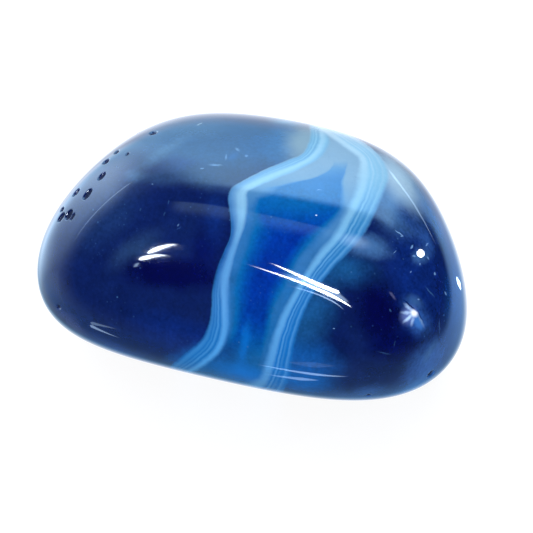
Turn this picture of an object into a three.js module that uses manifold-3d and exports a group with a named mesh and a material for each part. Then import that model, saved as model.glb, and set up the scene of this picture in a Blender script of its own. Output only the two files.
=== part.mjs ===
// A tumbled agate: one pebble of blue banded stone, worn smooth, with small open pits at its left end.
// Millimetres, +Z up, +X along the long side, the shown face towards -Y.
// The origin is on the resting flat, under the middle of the stone's box.

import * as THREE from 'three';
import { mergeVertices } from 'three/addons/utils/BufferGeometryUtils.js';
import Module from 'manifold-3d';

const wasm = await Module();
wasm.setup();

// Driving dimensions

// The core is the point inside the stone from which its worn flats are measured.
const coreHeight = 10.95;

// How firm the rims between neighbouring flats stay: a higher number wears them less round.
const rimFirmness = 6;

// Cuts along each edge of the icosahedron that the pebble is shaped from.
const fineness = 15;

// The worn flats. turn is the compass angle from +X towards +Y and tilt the angle above level, both in
// degrees, of the way that a flat faces. reach is its distance from the core, in millimetres.
const wornFlats = {
  top: { turn: 89, tilt: 80, reach: 13.4 },
  frontUpper: { turn: -80, tilt: 45, reach: 14.3 },
  frontMiddle: { turn: -86, tilt: 9, reach: 15.0 },
  frontUnder: { turn: -90, tilt: -53, reach: 12.2 },
  bottom: { turn: 0, tilt: -90, reach: 11.6 },
  backUpper: { turn: 96, tilt: 45, reach: 15.2 },
  backMiddle: { turn: 89, tilt: -1, reach: 15.0 },
  backUnder: { turn: 92, tilt: -50, reach: 14.1 },
  leftEnd: { turn: 200, tilt: -4, reach: 21.5 },
  leftShoulder: { turn: 174, tilt: 39, reach: 16.7 },
  leftBack: { turn: 133, tilt: 10, reach: 18.0 },
  leftUnder: { turn: 224, tilt: -32, reach: 22.3 },
  rightEnd: { turn: 17, tilt: 6, reach: 21.9 },
  rightBack: { turn: 49, tilt: 25, reach: 18.5 },
  rightShoulder: { turn: -11, tilt: 46, reach: 19.7 },
  rightUnder: { turn: -10, tilt: -33, reach: 24.1 },
  rightFront: { turn: -43, tilt: -21, reach: 21.2 },
};

// The open pits that the polish left. turn and tilt say where each lies, as seen from the core.
// length and width are across its mouth, and lean turns its long side up from level, in degrees.
const pitDepthShare = 0.45;
const pits = [
  { turn: -172, tilt: 53, length: 1.25, width: 0.75, lean: 51 },
  { turn: -160, tilt: 42.5, length: 1.05, width: 0.5, lean: 25 },
  { turn: -151.5, tilt: 47, length: 0.55, width: 0.35, lean: -12 },
  { turn: -155, tilt: 39.5, length: 1.1, width: 0.75, lean: 27 },
  { turn: -145, tilt: 38, length: 1.0, width: 0.65, lean: -60 },
  { turn: -147.5, tilt: 29, length: 0.95, width: 0.8, lean: -83 },
  { turn: -141.5, tilt: 32, length: 1.2, width: 0.7, lean: -85 },
  { turn: -146.5, tilt: 23, length: 0.7, width: 0.55, lean: 41 },
  { turn: -141, tilt: 24.5, length: 1.1, width: 0.75, lean: -87 },
  { turn: -143.5, tilt: 22, length: 1.15, width: 0.7, lean: 82 },
  { turn: -139, tilt: 25, length: 0.8, width: 0.35, lean: 89 },
  { turn: -133.5, tilt: -1, length: 0.6, width: 0.4, lean: 47 },
  { turn: -12.5, tilt: -15, length: 1.5, width: 0.8, lean: -49 },
  { turn: -31, tilt: -17.5, length: 0.75, width: 0.4, lean: -74 },
  // Round the left shoulder, out of the photographed side.
  { turn: 172, tilt: 40, length: 1.0, width: 0.55, lean: 30 },
  { turn: 163, tilt: 31, length: 0.7, width: 0.45, lean: -20 },
  { turn: 178, tilt: 22, length: 1.2, width: 0.6, lean: 62 },
];

const agateBlue = new THREE.MeshStandardMaterial({ color: 0x14428f, roughness: 0.06, metalness: 0 });

// The unit vector that faces a compass turn and a tilt.
function facing({ turn, tilt }) {
  const around = THREE.MathUtils.degToRad(turn);
  const above = THREE.MathUtils.degToRad(tilt);
  const level = Math.cos(above);
  return new THREE.Vector3(Math.cos(around) * level, Math.sin(around) * level, Math.sin(above));
}

const flats = Object.values(wornFlats).map((flat) => ({ normal: facing(flat), reach: flat.reach }));

// How far the worn surface is from the core along a unit vector. Each flat holds the surface back by its
// own share, and summing the shares with a high power rounds every rim between two flats.
function surfaceReach(along) {
  let held = 0;
  for (const { normal, reach } of flats) {
    held += (Math.max(0, along.dot(normal)) / reach) ** rimFirmness;
  }
  return held ** (-1 / rimFirmness);
}

// The pebble before its pits and its resting flat, round the core.
function wornPebble() {
  const pebble = new THREE.IcosahedronGeometry(1, fineness);
  const corners = pebble.getAttribute('position');
  const corner = new THREE.Vector3();
  for (let i = 0; i < corners.count; i += 1) {
    corner.fromBufferAttribute(corners, i).normalize();
    corner.multiplyScalar(surfaceReach(corner));
    corners.setXYZ(i, corner.x, corner.y, corner.z);
  }
  return pebble;
}

// The way that the worn surface faces at a unit vector from the core, from two small steps beside it.
function surfaceNormal(along) {
  const step = 0.01;
  const level = new THREE.Vector3(0, 0, 1).cross(along).normalize();
  const up = along.clone().cross(level);
  const pointBeside = (side) => {
    const beside = along.clone().addScaledVector(side, step).normalize();
    return beside.multiplyScalar(surfaceReach(beside));
  };
  const here = along.clone().multiplyScalar(surfaceReach(along));
  const stepLevel = pointBeside(level).sub(here);
  const stepUp = pointBeside(up).sub(here);
  return stepLevel.cross(stepUp).normalize();
}

// A flattened grain, lying half in the surface, whose lower half is the pit.
function pitGrain(pit) {
  const along = facing(pit);
  const normal = surfaceNormal(along);
  const level = new THREE.Vector3(0, 0, 1).cross(normal).normalize();
  const longSide = level.applyAxisAngle(normal, THREE.MathUtils.degToRad(pit.lean));
  const shortSide = normal.clone().cross(longSide);
  const grain = new THREE.IcosahedronGeometry(1, 1);
  grain.scale(pit.length / 2, pit.width / 2, pit.width * pitDepthShare);
  grain.applyMatrix4(new THREE.Matrix4().makeBasis(longSide, shortSide, normal));
  const mouth = along.multiplyScalar(surfaceReach(along));
  grain.translate(mouth.x, mouth.y, mouth.z);
  return grain;
}

// Everything below the resting flat.
function ground() {
  const side = 60;
  const depth = 10;
  const slab = new THREE.BoxGeometry(side, side, depth);
  slab.translate(0, 0, -coreHeight - depth / 2);
  return slab;
}

// A closed geometry as a solid that can be cut.
function solidOf(geometry) {
  geometry.deleteAttribute('normal');
  geometry.deleteAttribute('uv');
  const merged = mergeVertices(geometry, 1e-4);
  return new wasm.Manifold(new wasm.Mesh({
    numProp: 3,
    vertProperties: new Float32Array(merged.getAttribute('position').array),
    triVerts: new Uint32Array(merged.index.array),
  }));
}

// A cut solid back as a geometry.
function geometryOf(solid) {
  const mesh = solid.getMesh();
  const geometry = new THREE.BufferGeometry();
  geometry.setAttribute('position', new THREE.BufferAttribute(mesh.vertProperties, mesh.numProp));
  geometry.setIndex(new THREE.BufferAttribute(mesh.triVerts, 1));
  geometry.computeVertexNormals();
  return geometry;
}

function tumbledAgate() {
  let stone = solidOf(wornPebble());
  for (const pit of pits) {
    stone = stone.subtract(solidOf(pitGrain(pit)));
  }
  stone = stone.subtract(solidOf(ground()));
  const geometry = geometryOf(stone);
  geometry.computeBoundingBox();
  const { min, max } = geometry.boundingBox;
  geometry.translate(-(min.x + max.x) / 2, -(min.y + max.y) / 2, -min.z);
  const mesh = new THREE.Mesh(geometry, agateBlue);
  mesh.name = 'tumbled_agate';
  return mesh;
}

const agate = new THREE.Group();
agate.add(tumbledAgate());

export default agate;
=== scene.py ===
"""A tumbled blue agate on a pale table: its worn form, its open pits, its bands and its polish."""

import math

import bmesh
import bpy
import numpy
from mathutils import Matrix, Vector, noise
from mathutils.bvhtree import BVHTree


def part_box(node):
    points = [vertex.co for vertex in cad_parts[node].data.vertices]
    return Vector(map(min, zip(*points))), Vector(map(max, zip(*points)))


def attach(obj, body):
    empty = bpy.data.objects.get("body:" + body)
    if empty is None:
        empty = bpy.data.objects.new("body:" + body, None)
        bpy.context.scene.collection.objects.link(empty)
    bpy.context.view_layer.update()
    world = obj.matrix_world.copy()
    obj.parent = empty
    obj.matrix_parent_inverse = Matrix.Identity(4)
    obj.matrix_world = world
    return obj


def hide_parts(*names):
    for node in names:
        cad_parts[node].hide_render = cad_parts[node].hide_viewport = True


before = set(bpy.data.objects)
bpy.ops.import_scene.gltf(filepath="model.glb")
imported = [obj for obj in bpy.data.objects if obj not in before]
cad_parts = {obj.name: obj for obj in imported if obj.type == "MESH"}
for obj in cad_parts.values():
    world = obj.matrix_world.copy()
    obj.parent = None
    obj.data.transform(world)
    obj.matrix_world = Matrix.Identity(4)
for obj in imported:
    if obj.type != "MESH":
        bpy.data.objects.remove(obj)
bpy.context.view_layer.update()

MM = 0.001

# The stone's form, in millimetres and degrees

# The core is the point inside the stone from which its worn flats are measured.
core_height = 10.95

# How firm the rims between neighbouring flats stay: a higher number wears them less round.
rim_firmness = 6

# How often the round start of the visual mesh is divided, and how far round each pit's mouth it is divided
# once more, twice over, in half lengths of the pit. The last is the stone's mean reach, for those places.
start_divisions = 7
pit_divisions = (1.9, 1.6)
mean_reach = 18

# Each flat: the compass turn from +X towards +Y and the tilt above level of the way that it faces, and
# its reach from the core.
worn_flats = {
    "top": (89, 80, 13.4),
    "front upper": (-80, 45, 14.3),
    "front middle": (-86, 9, 15.0),
    "front under": (-90, -53, 12.2),
    "bottom": (0, -90, 11.6),
    "back upper": (96, 45, 15.2),
    "back middle": (89, -1, 15.0),
    "back under": (92, -50, 14.1),
    "left end": (200, -4, 21.5),
    "left shoulder": (174, 39, 16.7),
    "left back": (133, 10, 18.0),
    "left under": (224, -32, 22.3),
    "right end": (17, 6, 21.9),
    "right back": (49, 25, 18.5),
    "right shoulder": (-11, 46, 19.7),
    "right under": (-10, -33, 24.1),
    "right front": (-43, -21, 21.2),
}

# How deep a pit is, as a share of its width, and how ragged its lip is, by grain of this scale
pit_depth_share = 0.45
pit_raggedness = 0.4
pit_grain_scale = 1900.0

# Where a pit's wall starts and where it ends, in half lengths from its middle, and how far any pit reaches
pit_wall = (1.15, 0.65)
pit_farthest = 3.0

# Each open pit: the turn and tilt of its place as seen from the core, its length and width across the
# mouth, and the lean of its long side up from level.
open_pits = [
    (-172, 53, 1.25, 0.75, 51),
    (-160, 42.5, 1.05, 0.5, 25),
    (-151.5, 47, 0.55, 0.35, -12),
    (-155, 39.5, 1.1, 0.75, 27),
    (-145, 38, 1.0, 0.65, -60),
    (-147.5, 29, 0.95, 0.8, -83),
    (-141.5, 32, 1.2, 0.7, -85),
    (-146.5, 23, 0.7, 0.55, 41),
    (-141, 24.5, 1.1, 0.75, -87),
    (-143.5, 22, 1.15, 0.7, 82),
    (-139, 25, 0.8, 0.35, 89),
    (-133.5, -1, 0.6, 0.4, 47),
    (-12.5, -15, 1.5, 0.8, -49),
    (-31, -17.5, 0.75, 0.4, -74),
    (172, 40, 1.0, 0.55, 30),
    (163, 31, 0.7, 0.45, -20),
    (178, 22, 1.2, 0.6, 62),
]

# The photograph's view of the stone

# The camera's turn round the stone and its height above level, and how far it is from the core.
view_turn = 22
view_tilt = 33
view_distance = 250.0

# Where the core shows in the photograph, in its own pixels, and how large a millimetre is there.
picture_size = 533
core_pixel = (250, 257)
pixels_per_mm = 10.6
sensor_width = 36.0

turn, tilt = math.radians(view_turn), math.radians(view_tilt)
to_camera = Vector((math.sin(turn) * math.cos(tilt), -math.cos(turn) * math.cos(tilt), math.sin(tilt)))
picture_right = Vector((math.cos(turn), math.sin(turn), 0))
picture_up = to_camera.cross(picture_right)

# The bands, as the photograph shows them: two bundles of pale lines run down the stone, with a milky vein
# between them. Each edge of a bundle is given by pixels from the top down.
band_edges = {
    "left_outer": [(310, 125), (310, 138), (303, 153), (289, 160), (263, 171), (240, 183), (231, 190),
                   (229, 200), (231, 215), (231, 235), (223, 255), (216, 274), (213, 292), (211, 320),
                   (202, 340), (188, 352), (170, 367)],
    "left_inner": [(327, 133), (328, 143), (319, 157), (300, 168), (275, 178), (252, 188), (246, 193),
                   (246, 206), (244, 224), (238, 243), (232, 263), (228, 283), (229, 313), (227, 333),
                   (218, 352), (200, 367), (190, 372)],
    "right_inner": [(333, 137), (350, 149), (361, 158), (362, 170), (359, 190), (350, 210), (336, 236),
                    (321, 253), (308, 272), (296, 292), (284, 314), (275, 338), (269, 360), (263, 378),
                    (256, 383)],
    "right_outer": [(345, 132), (370, 147), (384, 162), (389, 176), (384, 192), (373, 216), (360, 239),
                    (340, 261), (320, 284), (308, 304), (299, 328), (293, 352), (290, 374), (284, 388)],
}

# How far behind the core the bands start to drift aside, and over what depth they reach their new course
drift_start = 4
drift_depth = 10

# How bright each bundle's lines are, by the place across it from its inner edge, 0, to its outer edge, 1.
right_lines = [(0.16, 1.0), (0.20, 0.85), (0.24, 0.58), (0.28, 0.35), (0.33, 0.0), (0.36, 0.2), (0.42, 0.8),
               (0.49, 0.0), (0.57, 0.35), (0.67, 0.0), (0.73, 0.1), (0.79, 0.6), (0.85, 0.3), (0.93, 0.05)]
left_lines = [(0.0, 0.25), (0.1, 0.5), (0.2, 0.82), (0.3, 1.0), (0.38, 0.95), (0.46, 0.5), (0.53, 0.08),
              (0.58, 0.1), (0.66, 0.6), (0.74, 0.03), (0.82, 0.32), (0.90, 0.05), (1.0, 0.3), (1.08, 0.35),
              (1.2, 0.1)]
left_soft = [(0.0, 0.75), (0.2, 1.0), (0.45, 0.85), (0.65, 0.4), (0.95, 0.0)]

# The stone's own colours, and the colours of the light, shade and reflections painted on it
colours = {
    # Night also paints dark reflections, besides the stone's own dark cracks.
    "night": (0.0006, 0.0012, 0.036),
    # Only for painted dark reflections.
    "painted dark reflection blue": (0.0005, 0.002, 0.052),
    "navy": (0.0015, 0.007, 0.072),
    "royal": (0.002, 0.013, 0.105),
    "indigo": (0.004, 0.028, 0.185),
    "slate": (0.006, 0.02, 0.08),
    # Fog serves only the wide painted top light.
    "fog": (0.006, 0.032, 0.104),
    # Haze serves the painted top glow and the painted reflection beside the opening, and also some of the
    # stone's own marks.
    "haze": (0.022, 0.06, 0.138),
    "lilac": (0.033, 0.047, 0.145),
    "deep teal": (0.001, 0.034, 0.125),
    "teal": (0.006, 0.052, 0.158),
    "turquoise": (0.01, 0.12, 0.245),
    "azure": (0.004, 0.065, 0.255),
    "bright azure": (0.002, 0.11, 0.4),
    # Cornflower is the stone's own colour, and also that of the haze round the painted glint.
    "cornflower": (0.022, 0.078, 0.27),
    # Lavender also paints reflections and glows, besides the stone's own flecks and cracks.
    "lavender": (0.033, 0.095, 0.225),
    "mist": (0.022, 0.07, 0.19),
    "sand": (0.098, 0.152, 0.195),
    "milk": (0.2, 0.29, 0.37),
    # Painted glint colour.
    "flare": (0.1, 0.14, 0.36),
    "clear azure": (0.035, 0.14, 0.42),
    # Painted highlight colour, for the glint's rays and the panel reflection.
    "painted highlight": (0.42, 0.58, 0.80),
    # Speck also paints the glints round the mirrored spot.
    "speck": (0.15, 0.29, 0.52),
    # The white of a painted glint's core.
    "painted glint white": (0.85, 0.9, 0.95),
    "brown": (0.05, 0.055, 0.13),
}

# The seed of the noise that makes the edges of the clouds and of the painted light ragged
cloud_and_painted_light_seed = 3

# The clouds inside the stone, with painted light among them, each laid over those before it: a lighter top,
# painted reflections and painted dark reflections, as each one says. Each has the pixel of its middle, half
# its length and half its width in pixels, the lean of its length up from the picture's right in degrees, how
# much of it is soft edge, its strength and its colour.
clouds = {
    # Left of the bands
    "left shoulder": ((106, 212), 66, 34, 50, 0.8, 0.8, "slate"),
    # Painted light: the top of the stone made lighter, where light from above falls and the polish mirrors
    # the tent.
    "wide painted top light": ((216, 138), 98, 46, -4, 0.6, 1.0, "fog"),
    "painted top glow": ((188, 127), 58, 18, -2, 0.9, 0.75, "haze"),
    "eye": ((262, 146), 30, 24, 0, 0.9, 0.7, "deep teal"),
    "fog gap": ((178, 163), 34, 11, 4, 0.9, 0.5, "royal"),
    "long streak": ((167, 149), 56, 9, 34, 1.0, 0.8, "haze"),
    "knot": ((134, 176), 16, 10, 0, 1.0, 0.85, "haze"),
    "knot tail": ((158, 178), 30, 10, -8, 1.0, 0.4, "haze"),
    "level haze": ((198, 178), 54, 14, -14, 1.0, 0.5, "haze"),
    # Painted reflection: lighter where the polish mirrors the dim tent wall beside the dark opening.
    "painted reflection beside the opening": ((134, 250), 44, 18, 33, 1.0, 0.4, "haze"),
    # Painted dark reflections: darker where the polish mirrors the tent's dark opening.
    "dark opening": ((172, 273), 66, 22, -5, 0.6, 0.95, "night"),
    "painted dark reflection pool": ((205, 250), 36, 24, 62, 0.9, 0.8, "painted dark reflection blue"),
    "left low": ((182, 338), 84, 30, -16, 0.9, 0.9, "royal"),
    "left low rim": ((128, 356), 84, 14, -23, 1.0, 0.9, "indigo"),
    "left corner": ((70, 322), 30, 10, -46, 0.9, 0.8, "lilac"),
    "beside left bundle": ((216, 216), 44, 14, 86, 1.0, 0.35, "indigo"),
    "left foot": ((182, 357), 40, 12, 28, 1.0, 0.6, "azure"),
    "sand border": ((284, 142), 36, 26, 70, 0.85, 0.95, "teal"),
    "sand": ((306, 141), 38, 28, 62, 0.85, 1.0, "sand"),
    "sand top": ((286, 122), 24, 9, -6, 1.0, 0.9, "turquoise"),
    # Right of the bands
    "right body": ((422, 284), 80, 50, -84, 0.7, 0.85, "royal"),
    "beside right bundle": ((308, 318), 84, 32, 66, 1.0, 1.0, "teal"),
    "beside bundle foot": ((308, 362), 46, 30, -10, 1.0, 0.95, "azure"),
    "right mist": ((397, 202), 52, 36, -60, 0.9, 0.95, "lavender"),
    "right milk": ((398, 178), 52, 24, -60, 0.9, 1.0, "milk"),
    "dark strip": ((439, 284), 24, 9, -84, 1.0, 0.7, "navy"),
    "right rim": ((436, 222), 54, 13, -62, 1.0, 0.8, "cornflower"),
    "teal shadow": ((347, 270), 44, 22, -16, 1.0, 1.0, "teal"),
    # Painted reflection: the lighter, rounded end of the mirrored second panel.
    "lavender": ((368, 246), 30, 16, -12, 0.8, 0.85, "lavender"),
    "dark notch": ((410, 219), 26, 12, -44, 1.0, 0.65, "royal"),
    "over spot": ((427, 242), 18, 9, -60, 1.0, 0.6, "cornflower"),
    # Painted glow round the mirrored lamp spot.
    "painted glow round the spot": ((421, 256), 14, 11, 20, 1.0, 0.8, "lavender"),
    # Painted dark reflection: darker where the polish mirrors the dark opening on the right.
    "painted dark reflection right": ((380, 314), 58, 34, -72, 0.8, 1.0, "night"),
    "painted dark reflection right low": ((396, 347), 38, 20, 0, 0.9, 0.95, "painted dark reflection blue"),
    # Painted glint: the haze round the flash of light off a crack inside the stone.
    "painted glint haze": ((416, 317), 28, 16, -60, 1.0, 1.0, "cornflower"),
    "low middle": ((302, 383), 46, 20, -6, 0.9, 0.62, "bright azure"),
    "low rim": ((366, 398), 70, 20, 4, 1.0, 0.95, "cornflower"),
    "low right": ((428, 364), 48, 26, 48, 0.9, 1.0, "cornflower"),
    "low right rim": ((414, 388), 44, 14, 36, 1.0, 1.0, "clear azure"),
    "low right streak": ((431, 352), 18, 7, 60, 1.0, 0.8, "lavender"),
    "right end": ((457, 302), 72, 20, 88, 1.0, 0.7, "azure"),
    # In the vein
    "vein foot": ((244, 374), 42, 14, -14, 1.0, 1.0, "bright azure"),
    "vein streak": ((245, 345), 34, 7, 79, 1.0, 0.8, "bright azure"),
}

# The small marks: the flare, a painted glint off a crack inside the stone, and its rays, painted glints
# round the mirrored spot, a painted panel reflection, flecks, healed cracks and specks, given in the same
# way.
marks = {
    # Painted glint: the flash of light off a crack inside the stone, with its rays, fan and tail. The two
    # dark cracks under it are the stone's own.
    "painted glint above": ((415, 301), 12, 8, -35, 1.0, 0.6, "lavender"),
    "painted glint fan": ((408.6, 315), 13, 10.5, 62, 0.9, 0.85, "flare"),
    "painted glint tail": ((418, 321.5), 12, 5.5, -62, 0.7, 0.9, "clear azure"),
    "painted glint tail edge": ((421, 321), 10, 1.8, -62, 1.0, 0.5, "milk"),
    "painted glint ray 1": ((408.6, 307.6), 8, 2.4, 138, 1.0, 0.6, "painted highlight"),
    "painted glint ray 2": ((407.2, 312.8), 8, 2.6, 175, 1.0, 0.7, "painted highlight"),
    "painted glint ray 3": ((408.6, 318), 8.5, 2.5, 38, 1.0, 1.0, "painted highlight"),
    "painted glint ray 4": ((412.4, 321), 7, 2.4, 76, 1.0, 0.55, "painted highlight"),
    "painted glint core": ((414, 313.2), 6, 4.4, -45, 0.9, 1.0, "painted glint white"),
    "flare crack": ((409.5, 304.8), 10, 1.0, -40, 0.6, 0.9, "night"),
    "flare crack low": ((420.5, 316.5), 9, 0.8, -62, 0.6, 0.6, "night"),
    # Painted reflection of the second panel where it crosses the right bundle.
    "painted panel reflection": ((354, 241), 20, 9, -12, 1.0, 0.2, "painted highlight"),
    "crack 1": ((399, 233), 6, 0.8, -32, 0.6, 0.7, "speck"),
    "crack 2": ((402, 236), 2, 0.9, -10, 0.6, 0.6, "speck"),
    "crack 3": ((430, 292), 9, 0.9, -46, 0.7, 0.6, "lavender"),
    "crack 4": ((439.5, 326), 9, 0.9, 92, 0.7, 0.6, "lavender"),
    "crack 5": ((394.7, 344), 4.5, 0.7, 80, 0.7, 0.6, "haze"),
    "crack 6": ((384, 353), 9, 0.8, -14, 0.7, 0.55, "haze"),
    "crack 7": ((454, 334), 6, 0.7, 0, 0.7, 0.6, "lavender"),
    "brown fleck": ((392.5, 295.5), 6.5, 1.8, -50, 0.7, 0.9, "brown"),
    "brown fleck low": ((390, 310), 2.2, 1.0, -60, 0.7, 0.8, "haze"),
    "long fleck": ((215.5, 165), 9, 1.5, -4, 1.0, 0.4, "speck"),
    "long fleck end": ((202, 168.5), 3, 0.9, 8, 0.7, 0.4, "speck"),
    "feather 1": ((226, 157), 4.5, 1.6, 85, 1.0, 0.3, "speck"),
    "feather 2": ((237.5, 149.5), 4, 1.8, -45, 1.0, 0.35, "speck"),
    "feather 3": ((246.5, 156), 2.4, 1.6, 0, 1.0, 0.35, "speck"),
    "feather 4": ((233, 157), 9, 5, 30, 1.0, 0.35, "azure"),
    "top fleck": ((199.5, 124), 4.5, 1.4, 32, 0.8, 0.45, "milk"),
    "left fleck 1": ((168.5, 202), 3, 0.7, 85, 0.7, 0.35, "lavender"),
    "left fleck 2": ((140.5, 209.5), 2.2, 1.0, 70, 0.7, 0.3, "lavender"),
    "left fleck 3": ((164.5, 214), 3, 0.7, 75, 0.7, 0.3, "lavender"),
    "left fleck 4": ((178.5, 225), 2.4, 0.9, 60, 1.0, 0.4, "speck"),
    "left fleck 5": ((152.5, 184.5), 1.3, 0.9, 0, 1.0, 0.4, "speck"),
    "left fleck 6": ((179, 228), 3.5, 0.6, 40, 0.7, 0.25, "lavender"),
    "vein speck": ((316, 215), 1.3, 0.8, 0, 0.6, 0.9, "painted highlight"),
    "vein scratch": ((319, 190), 3, 0.5, 5, 0.7, 0.5, "speck"),
    "right speck 1": ((434.7, 273.5), 1.0, 1.8, 10, 0.6, 0.7, "speck"),
    "right speck 2": ((445.6, 293.5), 2.6, 0.9, -60, 0.6, 0.8, "speck"),
    "right speck 3": ((334.3, 328.6), 1.2, 0.9, 0, 0.6, 0.8, "speck"),
    "right speck 4": ((411, 272), 1.2, 0.9, 30, 0.6, 0.5, "speck"),
    "right speck 5": ((395, 252), 3, 0.6, 40, 0.6, 0.5, "speck"),
    "right speck 6": ((418.6, 299.5), 1.7, 1.1, 0, 0.8, 0.6, "speck"),
    "right speck 7": ((444, 315), 1.1, 1.8, 0, 0.8, 0.5, "lavender"),
    # Painted glints: the ring of sparkles round the mirrored lamp spot.
    "painted glint round the spot 1": ((412, 247), 3.2, 1.0, 60, 0.7, 0.7, "speck"),
    "painted glint round the spot 2": ((427, 244.5), 2.6, 1.0, 50, 0.7, 0.7, "speck"),
    "painted glint round the spot 3": ((414, 256), 2.4, 1.2, -20, 0.7, 0.6, "speck"),
    "painted glint round the spot 4": ((428, 258), 2.6, 1.0, -50, 0.7, 0.6, "speck"),
    "painted glint round the spot 5": ((420, 264), 1.8, 1.0, 80, 0.7, 0.6, "speck"),
}


# Building node trees

class Nodes:
    """Adds nodes to a tree, and joins their sockets or sets their values."""

    def __init__(self, tree):
        self.tree = tree

    def give(self, socket, value):
        if isinstance(value, bpy.types.NodeSocket):
            self.tree.links.new(value, socket)
        else:
            socket.default_value = value

    def add(self, kind, inputs=None, **settings):
        """Adds a node, with its settings made before its sockets are joined or set."""
        node = self.tree.nodes.new(kind)
        for name, value in settings.items():
            setattr(node, name, value)
        for key, value in (inputs or {}).items():
            self.give(node.inputs[key], value)
        return node

    def math(self, operation, *values):
        node = self.add("ShaderNodeMath", operation=operation)
        for socket, value in zip(node.inputs, values):
            self.give(socket, value)
        return node.outputs[0]

    def vector(self, operation, *values):
        node = self.add("ShaderNodeVectorMath", operation=operation)
        for socket, value in zip(node.inputs, values):
            self.give(socket, value)
        measured = operation in ("DOT_PRODUCT", "LENGTH", "DISTANCE")
        return node.outputs["Value" if measured else "Vector"]

    def plus(self, first, second):
        return self.math("ADD", first, second)

    def minus(self, first, second):
        return self.math("SUBTRACT", first, second)

    def times(self, first, second):
        return self.math("MULTIPLY", first, second)

    def over(self, first, second):
        return self.math("DIVIDE", first, second)

    def times_plus(self, value, factor, base):
        """The value times the factor, plus the base."""
        return self.math("MULTIPLY_ADD", value, factor, base)

    def dot(self, first, second):
        return self.vector("DOT_PRODUCT", first, second)

    def scaled(self, vector, factor):
        return self.add("ShaderNodeVectorMath", {0: vector, "Scale": factor}, operation="SCALE").outputs[0]

    def joined(self, x=0.0, y=0.0, z=0.0):
        """A vector from its three parts."""
        return self.add("ShaderNodeCombineXYZ", {"X": x, "Y": y, "Z": z}).outputs[0]

    def part(self, vector, name):
        """The X, Y or Z of a vector."""
        return self.add("ShaderNodeSeparateXYZ", {0: vector}).outputs[name]

    def stored(self, name):
        """A number that the mesh holds for each of its corners."""
        return self.add("ShaderNodeAttribute", attribute_name=name).outputs["Fac"]

    def ease(self, value, start, end, first=0.0, last=1.0):
        """The first number up to start and the last from end on, with a soft change between them."""
        inputs = {"Value": value, "From Min": start, "From Max": end, "To Min": first, "To Max": last}
        return self.add("ShaderNodeMapRange", inputs, interpolation_type="SMOOTHSTEP").outputs["Result"]

    def blend(self, share, first, second):
        """The first number where the share is 0 and the second where it is 1."""
        return self.add("ShaderNodeMix", {"Factor": share, 2: first, 3: second}).outputs[0]

    def mix(self, share, first, second):
        """The first colour where the share is 0 and the second where it is 1."""
        inputs = {"Factor": share}
        for socket, side in ((6, first), (7, second)):
            inputs[socket] = side if isinstance(side, bpy.types.NodeSocket) else (*side, 1.0)
        return self.add("ShaderNodeMix", inputs, data_type="RGBA").outputs[2]

    def ramp(self, value, stops, start=0.0, end=1.0):
        """A colour for each value, from stops of a value and a colour between start and end."""
        share = self.over(self.minus(value, start), end - start)
        node = self.add("ShaderNodeValToRGB", {"Fac": share})
        ends = node.color_ramp.elements
        places = [((place - start) / (end - start), (*colour, 1.0)) for place, colour in stops]
        ends[0].position, ends[0].color = places[0]
        ends[1].position, ends[1].color = places[-1]
        for place, colour in places[1:-1]:
            ends.new(place).color = colour
        return node.outputs["Color"]

    def levels(self, value, stops, start=0.0, end=1.0):
        """A number for each value, from stops of a value and a number."""
        return self.ramp(value, [(place, (level, level, level)) for place, level in stops], start, end)

    def group(self, tree, inputs):
        """Uses a group, and gives its only result."""
        kind = tree.bl_idname.replace("Tree", "Group")
        return self.add(kind, inputs, node_tree=tree).outputs[0]

    def result(self, name):
        """Adds the result of a group that is being built, and gives the socket that it is set by."""
        self.tree.interface.new_socket(name, in_out="OUTPUT", socket_type="NodeSocketFloat")
        return self.add("NodeGroupOutput").inputs[name]


def new_group(name, kind, vectors, numbers):
    """Starts a group with these inputs, and gives its nodes and the inputs' sockets."""
    tree = bpy.data.node_groups.new(name, kind)
    for socket in vectors:
        tree.interface.new_socket(socket, in_out="INPUT", socket_type="NodeSocketVector")
    for socket in numbers:
        tree.interface.new_socket(socket, in_out="INPUT", socket_type="NodeSocketFloat")
    nodes = Nodes(tree)
    return nodes, nodes.add("NodeGroupInput").outputs


def show(name, data):
    """Adds an object to the scene."""
    shown = bpy.data.objects.new(name, data)
    bpy.context.scene.collection.objects.link(shown)
    return shown


# The worn form

def facing(turn, tilt):
    """The unit vector that faces a compass turn and a tilt above level."""
    around, above = math.radians(turn), math.radians(tilt)
    return Vector((math.cos(around) * math.cos(above), math.sin(around) * math.cos(above), math.sin(above)))


flats = [(facing(turn, tilt), reach * MM) for turn, tilt, reach in worn_flats.values()]


def worn_reach(along):
    """How far the worn surface is from the core along a unit vector."""
    held = sum((max(0.0, along.dot(normal)) / reach) ** rim_firmness for normal, reach in flats)
    return held ** (-1 / rim_firmness)


def worn_normal(along):
    """The way that the worn surface faces at a unit vector from the core."""
    pull = Vector()
    for normal, reach in flats:
        pull += normal * (max(0.0, along.dot(normal)) / reach) ** (rim_firmness - 1) / reach
    return pull.normalized()


def pit_frame(turn, tilt, lean):
    """A pit's mouth, and the directions of its long side, its short side and its depth."""
    along = facing(turn, tilt)
    normal = worn_normal(along)
    level = Vector((0, 0, 1)).cross(normal).normalized()
    long_side = Matrix.Rotation(math.radians(lean), 3, normal) @ level
    return along * worn_reach(along), long_side, normal.cross(long_side), -normal


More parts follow.
